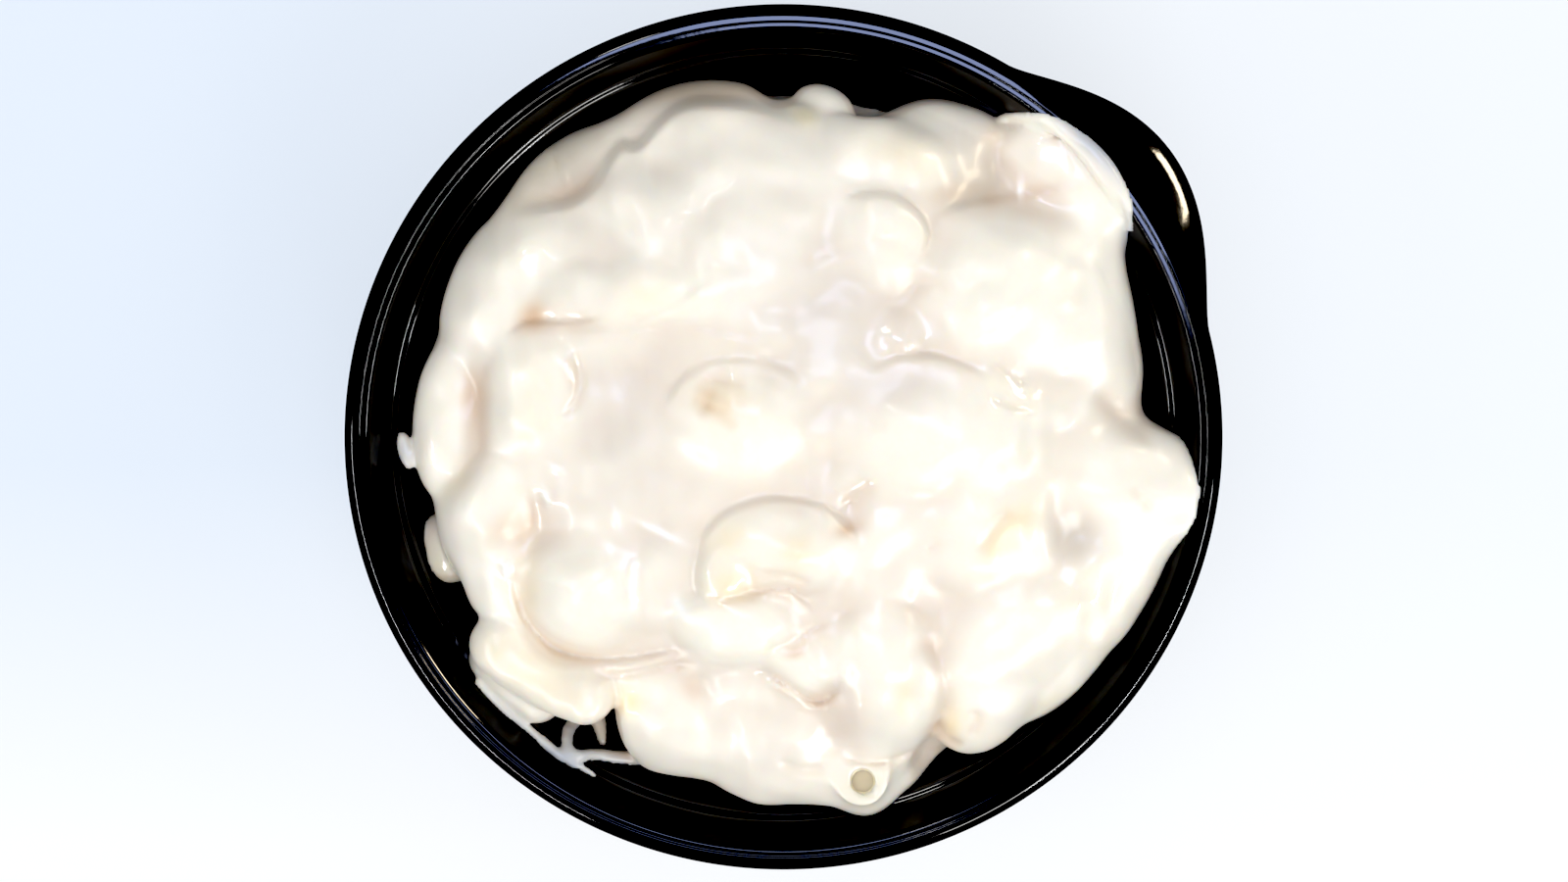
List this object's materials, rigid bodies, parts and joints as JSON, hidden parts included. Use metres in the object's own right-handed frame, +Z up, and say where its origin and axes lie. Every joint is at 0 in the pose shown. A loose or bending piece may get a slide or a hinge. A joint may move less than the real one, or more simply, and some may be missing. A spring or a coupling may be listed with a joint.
{
  "type": "macaroni and cheese in a bowl",
  "caption": "Macaroni and cheese: elbow pasta in thick white cheese sauce, heaped in a round black microwave bowl with a thumb tab on its rim.",
  "frame": {"origin": "middle of the bowl's foot, on the surface that it stands on", "axes": "+Z up; the thumb tab is on the rim between +X and +Y, 38 degrees from +X"},
  "size_m": [0.15, 0.15, 0.0588],
  "materials": {
    "black_plastic": "glossy moulded plastic",
    "cheese_sauce": "thick white cheese sauce, wet and glossy",
    "macaroni": "cooked pasta, pale yellow and wet"
  },
  "bodies": {
    "root": {"bowl": "black_plastic", "macaroni_and_cheese": "cheese_sauce"}
  },
  "joints": []
}
